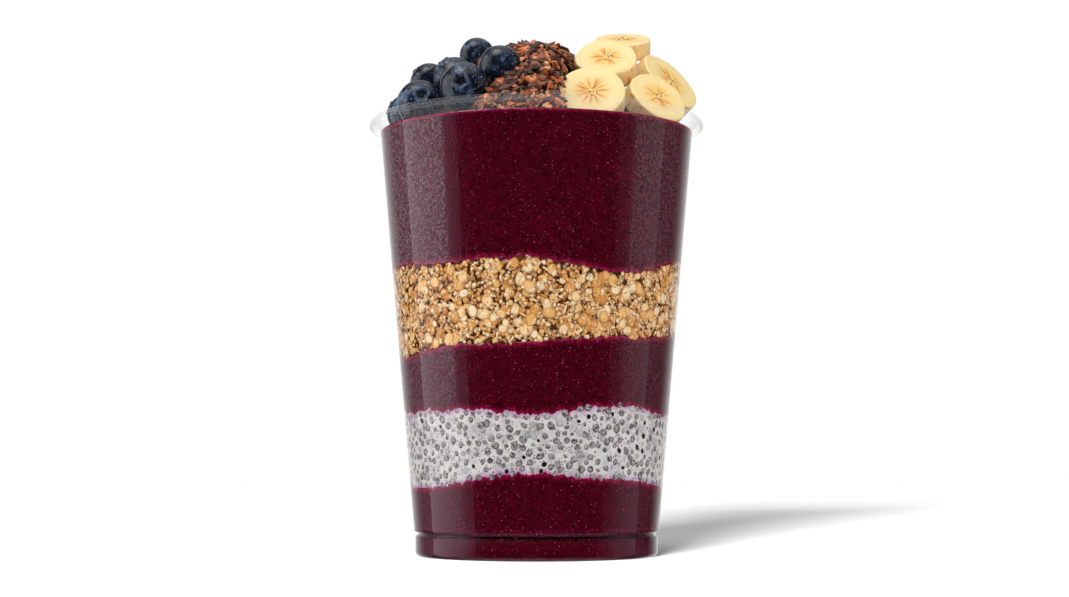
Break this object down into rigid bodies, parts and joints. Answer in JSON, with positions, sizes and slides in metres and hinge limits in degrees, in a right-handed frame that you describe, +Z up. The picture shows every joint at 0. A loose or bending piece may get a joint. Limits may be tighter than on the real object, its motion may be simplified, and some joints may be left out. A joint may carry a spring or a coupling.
{
  "type": "layered acai cup",
  "caption": "Clear tapered cup filled with layers of acai, chia pudding and granola, heaped with blueberries, cacao nibs and banana slices.",
  "frame": {"origin": "centre of the cup's foot, on the surface it stands on", "axes": "+Z up along the cup's axis; -Y is the front, with the blueberries at -X and the banana slices at +X"},
  "size_m": [0.098, 0.098, 0.1567],
  "materials": {
    "clear_plastic": "clear gloss plastic",
    "acai": "smooth, moist",
    "chia_pudding": "creamy with seeds",
    "granola": "dry oat flakes",
    "cacao_nibs": "broken, dry",
    "blueberry": "waxy bloom",
    "banana": "moist cut flesh"
  },
  "bodies": {
    "root": {"cup": "clear_plastic", "acai_bottom": "acai", "chia_layer": "chia_pudding", "acai_middle": "acai", "granola_layer": "granola", "acai_top": "acai", "nib_heap": "cacao_nibs", "blueberry_01": "blueberry", "blueberry_02": "blueberry", "blueberry_03": "blueberry", "blueberry_04": "blueberry", "blueberry_05": "blueberry", "blueberry_06": "blueberry", "blueberry_07": "blueberry", "blueberry_08": "blueberry", "blueberry_09": "blueberry", "blueberry_10": "blueberry", "blueberry_11": "blueberry", "blueberry_12": "blueberry", "banana_slice_1": "banana", "banana_slice_2": "banana", "banana_slice_3": "banana", "banana_slice_4": "banana", "banana_slice_5": "banana", "banana_slice_6": "banana", "banana_slice_7": "banana", "banana_slice_8": "banana"}
  },
  "joints": []
}
